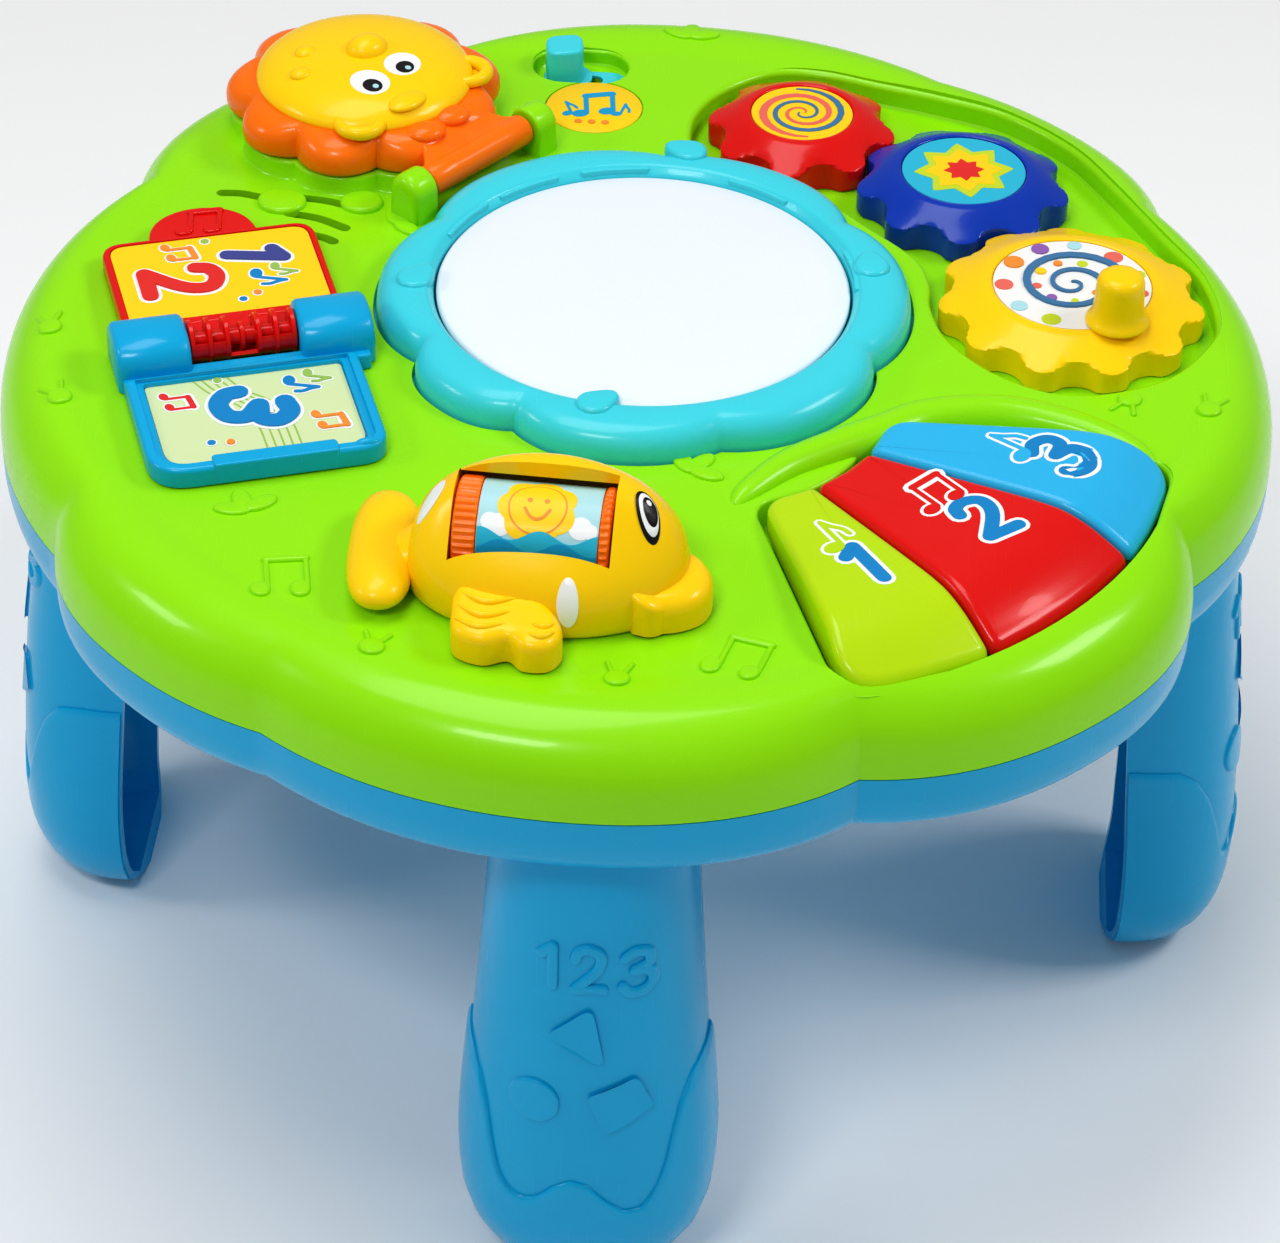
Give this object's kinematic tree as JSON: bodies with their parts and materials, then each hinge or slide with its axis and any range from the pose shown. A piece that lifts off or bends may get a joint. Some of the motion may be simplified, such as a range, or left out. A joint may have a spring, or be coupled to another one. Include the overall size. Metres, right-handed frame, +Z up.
{
  "type": "musical activity table",
  "caption": "Toddler's round-lobed activity table on legs with a drum button, fan keys, meshing gears, flip book, lidded box, fish roller and slider.",
  "frame": {"origin": "centre of the overall bounding box at the floor under the feet", "axes": "+Z up, -Y towards the player at the front leg, +X to the player's right"},
  "size_m": [0.3126, 0.318, 0.2],
  "materials": {
    "lime_plastic": "glossy injection-moulded",
    "blue_plastic": "glossy injection-moulded",
    "aqua_plastic": "glossy injection-moulded",
    "orange_plastic": "glossy injection-moulded",
    "yellow_plastic": "glossy injection-moulded",
    "red_plastic": "glossy injection-moulded",
    "royal_plastic": "glossy injection-moulded",
    "leaf_plastic": "glossy injection-moulded",
    "white_plastic": "glossy injection-moulded",
    "label_paper": "printed laminated label",
    "steel": "plain bright",
    "board": "solder mask",
    "dark_plastic": "fine matt",
    "dome_rubber": "soft matt"
  },
  "bodies": {
    "table": {"axle_blue": "steel", "axle_red": "steel", "axle_yellow": "steel", "battery_a": "steel", "battery_b": "steel", "battery_c": "steel", "battery_case": "dark_plastic", "battery_door": "blue_plastic", "book_base": "blue_plastic", "book_pin": "steel", "bottom_shell": "blue_plastic", "case_screw_a": "steel", "case_screw_b": "steel", "case_screw_c": "steel", "case_screw_d": "steel", "circuit_board": "board", "door_screw": "steel", "drum_spring": "steel", "drum_switch": "dark_plastic", "fish_body": "yellow_plastic", "key_dome_blue": "dome_rubber", "key_dome_green": "dome_rubber", "key_dome_red": "dome_rubber", "key_pin_blue": "steel", "key_pin_green": "steel", "key_pin_red": "steel", "leg_back": "blue_plastic", "leg_front": "blue_plastic", "leg_left": "blue_plastic", "leg_right": "blue_plastic", "lion_hinge_pin": "steel", "roller_axle": "steel", "round_label": "label_paper", "slide_switch": "dark_plastic", "speaker": "dark_plastic", "top_shell": "lime_plastic", "tray_label": "label_paper"},
    "drum": {"drum_ring": "aqua_plastic", "drum_head": "white_plastic", "drum_plate": "aqua_plastic"},
    "lid": {"lion_mane": "orange_plastic", "lion_face": "yellow_plastic"},
    "page": {"book_page": "red_plastic", "page_label": "label_paper"},
    "green_key": {"key_green": "leaf_plastic"},
    "red_key": {"key_red": "red_plastic"},
    "blue_key": {"key_blue": "blue_plastic"},
    "yellow_gear": {"gear_yellow": "yellow_plastic", "label_yellow": "label_paper", "crank_knob": "yellow_plastic"},
    "blue_gear": {"gear_blue": "royal_plastic", "label_blue": "label_paper"},
    "red_gear": {"gear_red": "red_plastic", "label_red": "label_paper"},
    "fish_roller": {"roller": "orange_plastic", "roller_label": "label_paper"},
    "slider": {"slider_knob": "aqua_plastic"}
  },
  "joints": [
    {"name": "drum_press", "type": "slide", "parent": "table", "child": "drum", "axis": [0, 0, -1], "range_m": [0, 0.003], "stiffness_N_per_m": 500, "springref_m": -0.004, "deforming": ["drum_spring"]},
    {"name": "lid_hinge", "type": "hinge", "parent": "table", "child": "lid", "pos_m": [-0.04635, 0.06621, 0.1772], "axis": [0.6129, 0.7902, 0], "range_deg": [0, 100]},
    {"name": "page_hinge", "type": "hinge", "parent": "table", "child": "page", "pos_m": [-0.0939, -0.01877, 0.1765], "axis": [0.9483, 0.3173, 0], "range_deg": [0, 175]},
    {"name": "green_key_press", "type": "hinge", "parent": "table", "child": "green_key", "pos_m": [0.04112, -0.06935, 0.17], "axis": [0.8805, 0.4741, 0], "range_deg": [0, 3.2], "stiffness_Nm_per_rad": 0.6, "springref_deg": -3.44, "deforming": ["key_dome_green"]},
    {"name": "red_key_press", "type": "hinge", "parent": "table", "child": "red_key", "pos_m": [0.05501, -0.05781, 0.17], "axis": [0.6273, 0.7788, 0], "range_deg": [0, 3.2], "stiffness_Nm_per_rad": 0.6, "springref_deg": -3.44, "deforming": ["key_dome_red"]},
    {"name": "blue_key_press", "type": "hinge", "parent": "table", "child": "blue_key", "pos_m": [0.0634, -0.04154, 0.17], "axis": [0.2706, 0.9627, 0], "range_deg": [0, 3.2], "stiffness_Nm_per_rad": 0.6, "springref_deg": -3.44, "deforming": ["key_dome_blue"]},
    {"name": "yellow_gear_spin", "type": "hinge", "parent": "table", "child": "yellow_gear", "pos_m": [0.10459, 0.02599, 0.17], "axis": [0, 0, 1], "continuous": true},
    {"name": "blue_gear_spin", "type": "hinge", "parent": "table", "child": "blue_gear", "pos_m": [0.07741, 0.0758, 0.17], "axis": [0, 0, 1], "continuous": true},
    {"name": "red_gear_spin", "type": "hinge", "parent": "table", "child": "red_gear", "pos_m": [0.03529, 0.09949, 0.17], "axis": [0, 0, 1], "continuous": true},
    {"name": "roller_spin", "type": "hinge", "parent": "table", "child": "fish_roller", "pos_m": [-0.016, -0.101, 0.184], "axis": [0.9986, -0.0523, 0], "continuous": true},
    {"name": "slider_slide", "type": "slide", "parent": "table", "child": "slider", "axis": [1, 0, 0], "range_m": [0, 0.008]}
  ],
  "couplings": [
    {"joint": "blue_gear_spin", "follows": "yellow_gear_spin", "ratio": -1.2222},
    {"joint": "red_gear_spin", "follows": "yellow_gear_spin", "ratio": 1.375}
  ]
}
